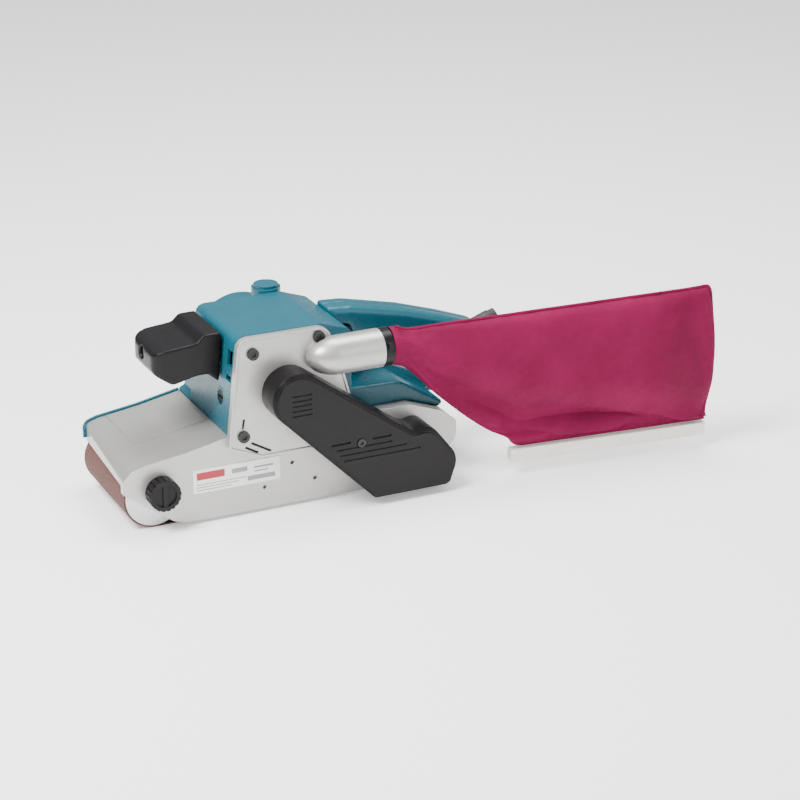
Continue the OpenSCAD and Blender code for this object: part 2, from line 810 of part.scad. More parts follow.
module motor_housing() {
    chamber_y = near_y + 8.5;
    web_y = chamber_y + 6.5;
    boss_x = mx + 7.4;
    boss_y = housing_y + 12;
    color(teal) difference() {
        union() {
            difference() {
                slab(near_y, housing_y) polygon(rounded(housing_outline));
                slab(near_y + shell_t, housing_y - shell_t)
                    polygon(rounded(inset(housing_outline, shell_t)));
                block(
                    housing_x0 + shell_t, housing_x1 - shell_t,
                    near_y + shell_t, housing_y - shell_t, deck_z - 1, mz
                );
            }
            difference() {
                slab(housing_y - shell_t, far_y) polygon(rounded(foot_outline));
                slab(housing_y, far_y - shell_t) polygon(rounded(inset(foot_outline, shell_t)));
                block(
                    housing_x0 + 2 * shell_t + 2, housing_x1 - shell_t,
                    housing_y, far_y - shell_t, deck_z - 1, mz - 10
                );
            }
            rod_y(barrel_r, near_y, barrel_y1, mx, mz);
            rod_z(12.5, mz, housing_top + 2, boss_x, boss_y);
            rod_z(10.5, mz, housing_top + 4.5, boss_x, boss_y);
            for (s = [-1, 1]) brush_boss(s);
        }
        rod_y(fan_r + 3, near_y - 1, chamber_y, mx, mz);
        rod_y(shaft_r + 1, chamber_y - 1, web_y + 1, mx, mz);
        rod_y(bearing_r, chamber_y + 1, web_y + 1, mx, mz);
        rod_y(stator_r, web_y, barrel_y1 + 1, mx, mz);
        for (s = [-1, 1]) mirror_x(s) rod_x(brush_r, commutator_r + 2, 90, brush_y, mz);
        block(-90, 90, near_y - 1, wall_y + run_gap, 0, deck_z);
        rod_x(nozzle_r + 0.6, nozzle_x0 - 2, housing_x1 + 9, nozzle_y, nozzle_z);
        for (z = [mz + 31, mz + 18.5])
            block(housing_x0 - 5, housing_x0 + 14, near_y + shell_t, near_y + 14, z, z + 5);
        block(housing_x0 - 5, housing_x0 + 14, near_y + shell_t, near_y + 14, mz + 31, mz + 45);
        for (k = [0:5]) rotate_about(mx, mz, 60 * k + 30)
            block(-2, 2, barrel_y1 - 26, barrel_y1 - 10, barrel_r - 8, barrel_r + 2);
        cap_screw_holes(1.5, barrel_y1 - 10, barrel_y1 + 1);
        plate_screw_holes();
        rod_x(screw_r, housing_x0 - 10, housing_x0 + 30, grip_y, grip_screw_z);
    }
}
module mirror_x(s) {
    translate([mx, 0, 0]) mirror([s < 0 ? 1 : 0, 0, 0]) children();
}
module rotate_about(x, z, a) {
    translate([x, 0, z]) rotate([0, a, 0]) children();
}
module brush_boss(s) {
    reach = s > 0 ? housing_x1 - mx : mx - housing_x0 - 3;
    mirror_x(s) rod_x(brush_r + 2.5, stator_r - 3, reach - eps, brush_y, mz);
}
module cap_screw_holes(r, y0, y1) {
    for (k = [0:3]) rotate_about(mx, mz, 90 * k + 45) rod_y(r, y0, y1, 0, stator_r + barrel_wall / 2 + 1.5);
}
module motor_end_cap() {
    seat_depth = 5;
    hub_r = bearing_r + 3;
    color(teal) difference() {
        union() {
            rod_y(barrel_r, barrel_y1, barrel_y1 + cap_depth - 3, mx, mz);
            rod_y(barrel_r - 3, barrel_y1 + cap_depth - 3 - eps, barrel_y1 + cap_depth, mx, mz);
            rod_y(hub_r, barrel_y1 - seat_depth - 1, barrel_y1 + 1, mx, mz);
        }
        ring_y(barrel_r - barrel_wall - 1, hub_r, barrel_y1 - 8, barrel_y1 + cap_depth - 3, mx, mz);
        rod_y(bearing_r, barrel_y1 - seat_depth - 2, barrel_y1, mx, mz);
        for (k = [0:11]) rotate_about(mx, mz, 30 * k)
            block(-1.8, 1.8, barrel_y1 + 2, barrel_y1 + cap_depth + 1, hub_r + 4, stator_r - 6);
        cap_screw_holes(1.5, barrel_y1 - 1, barrel_y1 + cap_depth + 1);
        cap_screw_holes(3.1, barrel_y1 + cap_depth - 5, barrel_y1 + cap_depth + 1);
    }
}
module end_cap_screws() {
    color(steel) {
        cap_screw_holes(1.5, barrel_y1 - 10, barrel_y1 + cap_depth - 4);
        cap_screw_holes(3, barrel_y1 + cap_depth - 5, barrel_y1 + cap_depth - 3.2);
    }
}
module stator_core() {
    color(steel) difference() {
        rod_y(stator_r, stator_y0, stator_y1, mx, mz);
        rod_y(armature_r + 1, stator_y0 - 1, stator_y1 + 1, mx, mz);
        for (s = [0, 1]) translate([mx, 0, mz]) mirror([0, 0, s])
            block(-14, 14, stator_y0 - 1, stator_y1 + 1, armature_r - 3, coil_out + 0.5);
    }
}
module field_coils() {
    end = 8;
    color([0.7, 0.38, 0.18]) for (s = [0, 1]) translate([mx, 0, mz]) difference() {
        mirror([0, 0, s])
            block(-13.5, 13.5, stator_y0 - end, stator_y1 + end, armature_r + 1, coil_out);
        rod_y(armature_r + 1, stator_y0 - end - 1, stator_y1 + end + 1, 0, 0);
    }
}
module motor_bearings() {
    color("silver") {
        bearing(shaft_r + fit, bearing_r, near_y + 9.5, near_y + 15, mx, mz);
        bearing(shaft_r + fit, bearing_r, barrel_y1 - 5, barrel_y1, mx, mz);
    }
}
module armature_shaft() {
    color(steel) {
        rod_y(shaft_r, gear_y1 + 0.5, barrel_y1 - 0.4, mx, mz);
        rod_y(pinion_bore, gear_y0, gear_y1 + 0.6, mx, mz);
    }
}
module armature_core() {
    slots = 12;
    color([0.45, 0.42, 0.42]) difference() {
        union() {
            rod_y(armature_r, stator_y0, stator_y1, mx, mz);
            rod_y(armature_r - 5, stator_y0 - 8, stator_y1 + 8, mx, mz);
        }
        rod_y(shaft_r, stator_y0 - 9, stator_y1 + 9, mx, mz);
        for (k = [0:slots - 1]) rotate_about(mx, mz, k * 360 / slots)
            block(-1, 1, stator_y0 - 1, stator_y1 + 1, armature_r - 4, armature_r + 1);
    }
}
module commutator() {
    bars = 16;
    color([0.72, 0.45, 0.25]) difference() {
        rod_y(commutator_r, brush_y - 7, brush_y + 7, mx, mz);
        rod_y(shaft_r, brush_y - 8, brush_y + 8, mx, mz);
        for (k = [0:bars - 1]) rotate_about(mx, mz, (k + 0.5) * 360 / bars)
            block(-0.3, 0.3, brush_y - 8, brush_y + 8, commutator_r - 1, commutator_r + 1);
    }
}
module vanes(count, r0, r1, y0, y1, t, lean) {
    for (k = [0:count - 1]) rotate_about(mx, mz, k * 360 / count)
        translate([0, 0, r0]) rotate([0, lean, 0]) block(-t / 2, t / 2, y0, y1, 0, r1 - r0);
}
module fan_wheel(r, y_disc, disc_t, y0, y1, hub, count) {
    difference() {
        union() {
            rod_y(r, y_disc, y_disc + disc_t, mx, mz);
            rod_y(hub, y0, y1, mx, mz);
            vanes(count, hub - 1, r * 0.93, y0, y1, 1.2, 12);
        }
        rod_y(shaft_r, y0 - 2, y1 + 2, mx, mz);
    }
}
module cooling_fan() {
    y0 = stator_y1 + 14;
    color("ivory") fan_wheel(stator_r - 3, y0, 1.2, y0, y0 + 12, 8, 12);
}
module dust_fan() {
    color("ivory") fan_wheel(fan_r, near_y + 6.4, 1.2, near_y + 0.6, near_y + 7.6, 7, 10);
}
module brush_tubes() {
    color([0.75, 0.6, 0.35]) for (s = [-1, 1]) mirror_x(s) difference() {
        rod_x(brush_r, commutator_r + 2, brush_reach(s) - 5, brush_y, mz);
        rod_x(tube_r, commutator_r + 1, brush_reach(s), brush_y, mz);
    }
}
function brush_reach(s) = s > 0 ? housing_x1 - mx : mx - housing_x0 - 3;
module carbon_brushes() {
    color([0.2, 0.2, 0.2]) for (s = [-1, 1]) mirror_x(s)
        rod_x(tube_r - 0.1, commutator_r + 0.3, commutator_r + 14, brush_y, mz);
}
module brush_springs() {
    turns = 5;
    color(steel) for (s = [-1, 1], k = [0:turns - 1]) mirror_x(s)
        translate([commutator_r + 15.2 + k * (brush_reach(s) - commutator_r - 21.4) / turns, brush_y, mz])
            rotate([0, 90, 0]) rotate_extrude($fn = 32) translate([3, 0]) circle(r = 0.6, $fn = 16);
}
module brush_caps() {
    color(black) for (s = [-1, 1]) mirror_x(s) difference() {
        rod_x(brush_r, brush_reach(s) - 5, brush_reach(s), brush_y, mz);
        translate([brush_reach(s) - 1.5, brush_y, mz]) block(0, 3, -5, 5, -0.8, 0.8);
    }
}

// ---- Rollers, tension and tracking ----

module drive_bearings() {
    color("silver") {
        bearing(axle_r + fit, drive_bearing_r, near_y, wall_y, rx, axle_z);
        bearing(axle_r + fit, drive_bearing_r, arm_y, arm_y + arm_t, rx, axle_z);
    }
}
module drive_axle() {
    color(steel) rod_y(axle_r, pulley_y0 - 1, arm_y + arm_t, rx, axle_z);
}
module drive_roller() {
    color([0.15, 0.15, 0.16]) roller(rx) rod_y(axle_r, -half_w - 1, half_w + 1, rx, axle_z);
}
module front_roller() {
    color(steel) roller(fx) rod_y(axle_r + fit, -half_w - 1, half_w + 1, fx, axle_z);
}
module front_axle() {
    color(steel) rod_y(axle_r, -arm_y - arm_t, arm_y + arm_t, fx, axle_z);
}
// Fork that carries the front roller and steers it about an upright pin
module roller_carrier() {
    bar = 5;
    color(steel) difference() {
        union() {
            block(
                pivot_x - bar, pivot_x + bar, -arm_y - arm_t, arm_y + arm_t,
                axle_z - carrier_h / 2, axle_z + carrier_h / 2
            );
            for (s = [-1, 1]) {
                y0 = s < 0 ? -arm_y - arm_t : arm_y;
                block(fx, pivot_x, y0, y0 + arm_t, axle_z - carrier_h / 2, axle_z + carrier_h / 2);
                rod_y(carrier_h / 2, y0, y0 + arm_t, fx, axle_z);
            }
            // Shoulder that the tracking cam bears on
            block(
                knob_x + cam_r + eccentric + run_gap, knob_x + 10,
                -arm_y - arm_t, -arm_y, axle_z, knob_z + 4
            );
        }
        rod_z(pin_r, 0, belt_top, pivot_x, 0);
        rod_y(axle_r, -far_y - 9, far_y + 9, fx, axle_z);
    }
    color(steel) rod_z(pin_r, axle_z - carrier_h / 2 - 4, axle_z + carrier_h / 2 + 4, pivot_x, 0);
}
module tension_slider() {
    half = 12;
    cheek = 4;
    z1 = carrier_h / 2 + free_gap;
    color(silver) difference() {
        union() {
            block(pivot_x + 5 + free_gap, slider_back, -half, half, axle_z - z1, axle_z + z1);
            for (s = [0, 1]) {
                z = s > 0 ? axle_z + z1 : axle_z - z1 - cheek;
                block(pivot_x - 6, slider_back - 10, -half, half, z, z + cheek);
            }
            rod_x(slider_r, slider_back, slider_back + spring_gap + 22, 0, axle_z);
        }
        rod_z(pin_r + fit, 0, belt_top, pivot_x, 0);
    }
}
module tension_spring() {
    turns = 6;
    wire = 1;
    color("gray") for (k = [0:turns - 1])
        translate([slider_back + wire + k * (spring_gap - 2 * wire) / (turns - 1), 0, axle_z])
            rotate([0, 90, 0]) rotate_extrude()
                translate([slider_r + wire + run_gap, 0]) circle(r = wire, $fn = 16);
}
module knob_bush() {
    color([0.8, 0.65, 0.35]) ring_y(knob_shaft_r + 3, knob_shaft_r + fit, near_y, wall_y, knob_x, knob_z);
}
module tracking_knob() {
    ribs = 18;
    depth = 11.5;
    color(black) {
        difference() {
            union() {
                rod_y(knob_r, near_y - depth - free_gap, near_y - free_gap, knob_x, knob_z);
                rod_y(knob_shaft_r, near_y - free_gap - 1, wall_y + 0.3, knob_x, knob_z);
                rod_y(cam_r, wall_y + 0.2, wall_y + 4, knob_x, knob_z + eccentric);
            }
            for (k = [0:ribs - 1]) rotate_about(knob_x, knob_z, k * 360 / ribs)
                rod_y(0.8, near_y - depth - 1, near_y - 2, 0, knob_r);
            rod_y(knob_r - 4, near_y - depth - 2, near_y - depth + 1, knob_x, knob_z);
        }
        rotate_about(knob_x, knob_z, 0)
            block(-2, 2, near_y - depth - 0.3, near_y - 4, 2 - knob_r, knob_r - 2);
    }
}
module lever_pin() {
    half = lever_h / 2 + free_gap + 4;
    color(steel) rod_z(lever_pin_r, axle_z - half, axle_z + half, lever_x, lever_y);
}
module tension_lever() {
    hub = 6;
    color(black) difference() {
        union() {
            rod_z(hub, axle_z - lever_h / 2, axle_z + lever_h / 2, lever_x, lever_y);
            block(
                lever_x, lever_x + lever_len, lever_y - 1, lever_y + 4,
                axle_z - lever_h / 2, axle_z + lever_h / 2
            );
            rod_z(4, axle_z - lever_h / 2, axle_z + lever_h / 2, lever_x + lever_len, lever_y + 3);
        }
        rod_z(lever_pin_r + fit, 0, belt_top, lever_x, lever_y);
    }
}

// ---- Grips ----

module front_grip() {
    round_r = 9;
    color(black) difference() {
        intersection() {
            slab(grip_y - grip_w / 2, grip_y + grip_w / 2) polygon(rounded(grip_outline));
            linear_extrude(housing_top + 1) polygon(rounded([
                [housing_x0 - 54, grip_y - grip_w / 2, round_r],
                [housing_x0 + 9, grip_y - grip_w / 2],
                [housing_x0 + 9, grip_y + grip_w / 2],
                [housing_x0 - 54, grip_y + grip_w / 2, round_r * 2]
            ]));
        }
        slab(near_y, housing_y) polygon(rounded(inset(housing_outline, -eps)));
        rod_x(screw_r, housing_x0 - 60, housing_x0 + 9, grip_y, grip_screw_z);
        rod_x(head_r + 0.2, housing_x0 - 60, housing_x0 - 48, grip_y, grip_screw_z);
    }
}
module grip_screw() {
    color(steel) screw_x(housing_x0 - 51, 51 + 18, grip_y, grip_screw_z);
}
// One half of the rear handle and the body under it; side is -1 or 1
module handle_half_shell(side) {
    body = side < 0 ? body_near : body_far;
    skin = shell_t + 1;
    mirror([0, side < 0 ? 1 : 0, 0]) difference() {
        union() {
            difference() {
                slab(0, body) polygon(rounded(body_outline));
                slab(-1, body - shell_t) polygon(rounded(inset(body_outline, shell_t)));
            }
            difference() {
                union() for (k = [0:3]) {
                    w = handle_half - handle_round * (1 - sin(30 * k));
                    d = handle_round * (1 - cos(30 * k));
                    slab(0, w) difference() {
                        polygon(rounded(inset(handle_outline, d)));
                        polygon(rounded(inset(opening_outline, -d)));
                    }
                }
                slab(-1, handle_half - shell_t) difference() {
                    polygon(rounded(inset(handle_outline, skin)));
                    polygon(rounded(inset(opening_outline, -skin)));
                }
            }
            for (p = handle_screw_spots) rod_y(head_r + 1.2, 0, handle_half - 1, p[0], p[1]);
        }
        for (p = handle_screw_spots) {
            rod_y(screw_r, -1, side < 0 ? handle_half - 4 : body + 1, p[0], p[1]);
            if (side > 0) rod_y(head_r, handle_half - 4, body + 1, p[0], p[1]);
        }
        // Room for the trigger, the button and the cord gland
        block(trigger_x0 - 3, trigger_x0 + 26, -1, trigger_w / 2 + free_gap, bar_top - 26, bar_top - 4);
        if (side < 0) rod_y(lock_r + run_gap, handle_half - shell_t - 1, handle_half + 1, lock_x, lock_z);
        gland_line() cylinder(r = gland_r, h = gland_len, center = true);
        rod_x(brush_r + 1, handle_x0 - 1, handle_x0 + 4, side * brush_y, mz);
    }
}
module gland_line() {
    translate([rx + 97, 0, deck_z + 38]) rotate([0, 70, 0]) children();
}
module handle_left() {
    color(teal) handle_half_shell(-1);
}
module handle_right() {
    color(teal) handle_half_shell(1);
}
module handle_screws() {
    color(steel) for (p = handle_screw_spots) {
        rod_y(screw_r, -handle_half + 4, handle_half - 3, p[0], p[1]);
        rod_y(head_r - 0.4, handle_half - 4, handle_half - 1.5, p[0], p[1]);
    }
}
module switch_body() {
    color(black) block(handle_x0 + 5, handle_x0 + 23, -9, 9, bar_top - 9, bar_top + 6);
}
module trigger() {
    color(black) difference() {
        slab(-trigger_w / 2, trigger_w / 2) polygon(rounded(trigger_outline));
        rod_y(1.5, -20, 20, trigger_x0 + 3, bar_top - 14);
    }
}
module lock_button() {
    color(black) rod_y(lock_r, -handle_half - 3.6, -handle_half + 2.4, lock_x, lock_z);
    color(black) rod_y(lock_r - 2.5, -handle_half + 2.3, -9 - 3.3, lock_x, lock_z);
}
module cord_gland() {
    color(black) gland_line() difference() {
        union() {
            cylinder(r = gland_r, h = gland_len, center = true);
            translate([0, 0, gland_len / 2 - eps]) cylinder(r = gland_r - 1, h = 6);
        }
        cylinder(r = cord_r, h = gland_len * 3, center = true);
    }
}

// ---- Dust bag ----

module bag_collar() {
    color(black) difference() {
        union() {
            rod_x(nozzle_r, nozzle_x1 + 0.4, bag_x0, nozzle_y, nozzle_z);
            rod_x(nozzle_bore_r - 0.3, nozzle_x1 - spigot_len, nozzle_x1 + 0.5, nozzle_y, nozzle_z);
            translate([nozzle_x1 + 2, nozzle_y - nozzle_r - 1, nozzle_z + 3]) block(0, 4, 0, 4, 0, 5);
        }
        rod_x(nozzle_bore_r - 2.3, nozzle_x1 - spigot_len - 1, bag_x0 + 1, nozzle_y, nozzle_z);
    }
}
// Place in the bag's own frame: x along the bag, z up, y across
module bag_frame() {
    translate([bag_x0 + 0.4, nozzle_y, 0]) rotate([0, 0, -bag_yaw]) children();
}
module dust_bag() {
    mouth_r = 14;
    color(magenta) bag_frame() difference() {
        hull() {
            translate([2, 0, nozzle_z]) rotate([0, 90, 0]) cylinder(r = mouth_r, h = 2, $fn = hull_fn);
            for (s = [-1, 1]) {
                translate([bag_len - 12, s * (bag_t / 2 - 14), bag_top - 14]) sphere(r = 14, $fn = hull_fn);
                translate([bag_len - 2, s * (bag_t / 2 - 16), nozzle_z - 50]) sphere(r = 12, $fn = hull_fn);
                translate([bag_len * 0.45, s * (bag_t / 2 - 12), bag_top - 20])
                    sphere(r = 12, $fn = hull_fn);
                translate([bag_len * 0.5, s * (bag_t / 2 - 10), 60]) sphere(r = 10, $fn = hull_fn);
            }
            translate([rail_x0 + 8, 0, rail_z0 + rail_h + 3]) sphere(r = 2.5, $fn = hull_fn);
            translate([bag_len - 2, 0, rail_z0 + rail_h + 3]) sphere(r = 2.5, $fn = hull_fn);
        }
        block(0, bag_len * 2, -bag_t, bag_t, -1, rail_z0 + rail_h + free_gap);
    }
    // Folded hem that the rail grips
    color(magenta) bag_frame() {
        block(rail_x0 + 10, bag_len - 4, -0.7, 0.7, rail_z0 + 4, rail_z0 + rail_h + 3);
        rod_x(1.6, rail_x0 + 10, bag_len - 4, 0, rail_z0 + 5);
    }
}
module bag_rail() {
    color("white") bag_frame() difference() {
        block(rail_x0, bag_len + 4, -4.5, 4.5, rail_z0, rail_z0 + rail_h);
        rod_x(2.2, rail_x0 - 1, bag_len - 3, 0, rail_z0 + 5);
        block(rail_x0 - 1, bag_len - 3, -1.2, 1.2, rail_z0 + 5, rail_z0 + rail_h + 1);
    }
}

base_frame();
inner_frame();
platen();
platen_pad();
platen_screws();
sanding_belt();
far_bumper();
name_plate();
drive_plate();
plate_screws();
gear_case_cover();
gear_bearings();
motor_housing();
motor_end_cap();
end_cap_screws();
stator_core();
field_coils();
motor_bearings();
brush_tubes();
carbon_brushes();
brush_springs();
brush_caps();
armature_shaft();
armature_core();
commutator();
cooling_fan();
dust_fan();
motor_pinion();
gear_shaft();
spur_gear();
small_pulley();
drive_belt();
drive_belt_cover();
cover_screw();
drive_bearings();
drive_axle();
drive_roller();
large_pulley();
tension_slider();
tension_spring();
roller_carrier();
front_axle();
front_roller();
knob_bush();
tracking_knob();
tension_lever();
lever_pin();
front_grip();
grip_screw();
handle_left();
handle_right();
handle_screws();
switch_body();
trigger();
lock_button();
cord_gland();
bag_collar();
dust_bag();
bag_rail();
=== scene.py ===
"""Handheld belt sander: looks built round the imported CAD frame, in metres."""

import json
import math

import bmesh
import bpy
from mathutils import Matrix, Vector, noise


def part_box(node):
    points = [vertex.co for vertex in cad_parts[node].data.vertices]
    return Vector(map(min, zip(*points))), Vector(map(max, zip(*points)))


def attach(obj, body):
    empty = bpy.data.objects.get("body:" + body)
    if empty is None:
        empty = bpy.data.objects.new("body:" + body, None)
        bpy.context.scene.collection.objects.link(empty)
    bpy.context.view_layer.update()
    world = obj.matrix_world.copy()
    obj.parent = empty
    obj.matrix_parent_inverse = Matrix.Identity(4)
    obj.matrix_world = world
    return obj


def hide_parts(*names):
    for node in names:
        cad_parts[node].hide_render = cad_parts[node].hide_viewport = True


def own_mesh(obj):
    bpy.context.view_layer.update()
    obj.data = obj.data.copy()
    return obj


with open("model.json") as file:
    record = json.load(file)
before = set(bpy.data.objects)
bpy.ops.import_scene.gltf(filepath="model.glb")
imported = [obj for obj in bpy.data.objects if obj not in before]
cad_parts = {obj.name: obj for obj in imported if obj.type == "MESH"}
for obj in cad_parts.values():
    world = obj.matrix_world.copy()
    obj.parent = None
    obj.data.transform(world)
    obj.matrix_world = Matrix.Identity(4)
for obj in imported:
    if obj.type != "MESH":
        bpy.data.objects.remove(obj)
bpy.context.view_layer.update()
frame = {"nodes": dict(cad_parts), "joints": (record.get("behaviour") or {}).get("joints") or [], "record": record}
MM = 0.001

# ---- Camera, lights and floor ----

# The photograph's view: the point looked at, then the side, the height in degrees and the distance
VIEW_TARGET = Vector((0.133, 0.0, 0.0507))
VIEW_AZIMUTH = -25.5
VIEW_ELEVATION = 22.0
VIEW_DISTANCE = 2.083
LAMP_TARGET = Vector((0.12, 0.0, 0.07))
FLOOR_SIZE = 40
# The floor lies just under the machine, so that it doesn't share a plane with the belt
FLOOR_DROP = 0.0002


def direction(azimuth, elevation):
    """Unit vector from the target towards a camera or lamp; azimuth 0 looks along +Y."""
    a, e = math.radians(azimuth), math.radians(elevation)
    return Vector((math.sin(a) * math.cos(e), -math.cos(a) * math.cos(e), math.sin(e)))


def aim(obj, place, target):
    """Puts a camera or lamp at a place and turns it to face the target."""
    obj.location = place
    obj.rotation_mode = "QUATERNION"
    obj.rotation_quaternion = (target - place).to_track_quat("-Z", "Y")


def make_camera():
    data = bpy.data.cameras.new("camera")
    data.lens = 108
    data.sensor_width = 36
    data.clip_start = 0.05
    camera = bpy.data.objects.new("camera", data)
    bpy.context.scene.collection.objects.link(camera)
    aim(camera, VIEW_TARGET + direction(VIEW_AZIMUTH, VIEW_ELEVATION) * VIEW_DISTANCE, VIEW_TARGET)
    bpy.context.scene.camera = camera


def area_lamp(name, azimuth, elevation, distance, size, watts, tint):
    data = bpy.data.lights.new(name, "AREA")
    data.shape = "DISK"
    data.size = size
    data.energy = watts
    data.color = tint
    lamp = bpy.data.objects.new(name, data)
    bpy.context.scene.collection.objects.link(lamp)
    aim(lamp, LAMP_TARGET + direction(azimuth, elevation) * distance, LAMP_TARGET)


def make_lamps():
    area_lamp("key", azimuth=-70, elevation=52, distance=1.7, size=0.7, watts=56, tint=(1.0, 0.99, 0.97))
    area_lamp("fill", azimuth=30, elevation=22, distance=1.8, size=1.2, watts=9, tint=(0.97, 0.98, 1.0))
    area_lamp("top", azimuth=130, elevation=76, distance=1.6, size=1.0, watts=30, tint=(1.0, 1.0, 1.0))


def make_world():
    """Bright overhead and dim towards the horizon, as a tent of white cloth gives."""
    world = bpy.data.worlds.new("studio")
    world.use_nodes = True
    tree = world.node_tree
    sky = tree.nodes["Background"]
    sky.inputs["Strength"].default_value = 0.85
    height = tree.nodes.new("ShaderNodeSeparateXYZ")
    tree.links.new(tree.nodes.new("ShaderNodeTexCoord").outputs["Generated"], height.inputs[0])
    ramp = tree.nodes.new("ShaderNodeValToRGB")
    ramp.color_ramp.elements[0].position = 0.05
    ramp.color_ramp.elements[0].color = (0.30, 0.30, 0.31, 1)
    ramp.color_ramp.elements[1].position = 0.75
    ramp.color_ramp.elements[1].color = (1.0, 1.0, 1.0, 1)
    tree.links.new(height.outputs["Z"], ramp.inputs[0])
    tree.links.new(ramp.outputs["Color"], sky.inputs["Color"])
    bpy.context.scene.world = world


def make_floor():
    """Large sheet of white paper, which glows a little so that it stays pale."""
    bpy.ops.mesh.primitive_plane_add(size=FLOOR_SIZE, location=(0, 0, -FLOOR_DROP))
    floor = bpy.context.object
    floor.name = "floor"
    paper = bpy.data.materials.new("floor_paper")
    paper.use_nodes = True
    shader = paper.node_tree.nodes["Principled BSDF"]
    shader.inputs["Base Color"].default_value = (0.97, 0.97, 0.97, 1)
    shader.inputs["Roughness"].default_value = 0.9
    shader.inputs["Emission Color"].default_value = (1.0, 1.0, 1.0, 1)
    shader.inputs["Emission Strength"].default_value = 0.35
    floor.data.materials.append(paper)


make_camera()
make_lamps()
make_world()
make_floor()

# ---- Materials ----

# Length of one wave of the bag's weave, and radians in a metre of the laminations' lines
THREAD_PITCH = 0.0011
SHEET_WAVES = 6200.0
# Height of the plate screws' heads over the drive plate, and depth of the plate's shallow slots
SCREW_HEAD = 2.5 * MM
SLOT_DEPTH = 1.0 * MM
# How near a face lies to the slot floors to be drawn as one, and the black of the painted shade those floors get
FLOOR_TOLERANCE = 0.0003
SLOT_SHADE_BLACK = (0.006, 0.006, 0.006, 1)
# Plain shapes on the label, as shares of its length and height: one block and rows of bars
LABEL_BLOCK = (0.04, 0.36, 0.56, 0.88)
LABEL_BARS = [
    (0.44, 0.62, 0.60, 0.80),
    (0.70, 0.92, 0.66, 0.74),
    (0.70, 0.86, 0.50, 0.56),
    (0.04, 0.60, 0.34, 0.38),
    (0.04, 0.52, 0.22, 0.26),
    (0.04, 0.44, 0.10, 0.14),
    (0.62, 0.94, 0.16, 0.36),
]


class Graph:
    """A short way to build a node material round one Principled shader."""

    def __init__(self, name):
        self.material = bpy.data.materials.new(name)
        self.material.use_nodes = True
        self.tree = self.material.node_tree
        self.shader = self.tree.nodes["Principled BSDF"]
        self.place = self.tree.nodes.new("ShaderNodeTexCoord").outputs["Object"]

    def add(self, kind, **inputs):
        """New node; an input's name has _ where Blender's has a space."""
        node = self.tree.nodes.new(kind)
        for key, value in inputs.items():
            self.feed(node.inputs[key.replace("_", " ")], value)
        return node

    def feed(self, socket, value):
        if isinstance(value, bpy.types.NodeSocket):
            self.tree.links.new(value, socket)
        else:
            socket.default_value = value

    def noise(self, scale, detail=3.0, rough=0.55):
        node = self.add("ShaderNodeTexNoise", Vector=self.place, Scale=scale)
        node.inputs["Detail"].default_value = detail
        node.inputs["Roughness"].default_value = rough
        return node.outputs["Fac"]

    def math(self, operation, a, b):
        node = self.tree.nodes.new("ShaderNodeMath")
        node.operation = operation
        self.feed(node.inputs[0], a)
        self.feed(node.inputs[1], b)
        return node.outputs[0]

    def spread(self, value, low, high):
        """Stretches the middle range of a noise, 0.3 to 0.7, to low and high."""
        node = self.add("ShaderNodeMapRange", Value=value)
        node.inputs["From Min"].default_value = 0.3
        node.inputs["From Max"].default_value = 0.7
        node.inputs["To Min"].default_value = low
        node.inputs["To Max"].default_value = high
        return node.outputs["Result"]

    def blend(self, factor, dark, light):
        """Mixed colour: dark where the factor is 0, light where it is 1."""
        node = self.tree.nodes.new("ShaderNodeMix")
        node.data_type = "RGBA"
        self.feed(node.inputs[0], factor)
        self.feed(node.inputs[6], dark)
        self.feed(node.inputs[7], light)
        return node.outputs[2]

    def mottled(self, pattern, colour, dark, light):
        """Colour that a pattern varies between two shades of itself."""
        return self.blend(self.spread(pattern, 0.0, 1.0), shade(colour, dark), shade(colour, light))

    def bump(self, height, strength, distance, under=None):
        node = self.add("ShaderNodeBump", Height=height, Strength=strength, Distance=distance)
        if under is not None:
            self.feed(node.inputs["Normal"], under)
        return node.outputs["Normal"]

    def finish(self, colour, rough, normal=None, **fixed):
        self.feed(self.shader.inputs["Base Color"], colour)
        self.feed(self.shader.inputs["Roughness"], rough)
        if normal is not None:
            self.feed(self.shader.inputs["Normal"], normal)
        for key, value in fixed.items():
            self.shader.inputs[key.replace("_", " ")].default_value = value
        return self.material


def shade(colour, factor):
    """A darker or lighter RGBA of an RGB colour."""
    return tuple(min(1.0, c * factor) for c in colour) + (1.0,)


def rounded_normal(graph, radius_mm):
    """Normal of an edge rounded to this radius, without changing the mesh."""
    node = graph.tree.nodes.new("ShaderNodeBevel")
    node.samples = 4
    node.inputs["Radius"].default_value = radius_mm * MM
    return node.outputs["Normal"]


def worn_edges(graph, colour, bright, amount, soft):
    """Lighter colour beside the edges, in patches, as handling leaves them."""
    flat = graph.tree.nodes.new("ShaderNodeNewGeometry").outputs["Normal"]
    dot = graph.tree.nodes.new("ShaderNodeVectorMath")
    dot.operation = "DOT_PRODUCT"
    graph.feed(dot.inputs[0], flat)
    graph.feed(dot.inputs[1], soft)
    turn = graph.math("MULTIPLY", graph.math("SUBTRACT", 1.0, dot.outputs["Value"]), 5.0)
    edge = graph.math("MINIMUM", turn, 1.0)
    patchy = graph.math("MULTIPLY", edge, graph.spread(graph.noise(90.0), 0.1, 1.0))
    return graph.blend(graph.math("MULTIPLY", patchy, amount), colour, bright)


def moulded(name, colour, rough, grain, depth, wear=0.35, glint=0.32):
    """Moulded plastic: faint mottling, fine spark-eroded grain and worn edges."""
    g = Graph(name)
    tone = g.mottled(g.noise(35.0), colour, 0.93, 1.07)
    soft = rounded_normal(g, 0.7)
    tone = worn_edges(g, tone, shade(colour, 1.6), wear, soft)
    normal = g.bump(g.noise(grain, 4.0, 0.6), depth, 0.0003, soft)
    gloss = g.spread(g.noise(160.0), rough - 0.05, rough + 0.06)
    return g.finish(tone, gloss, normal, Specular_IOR_Level=glint)


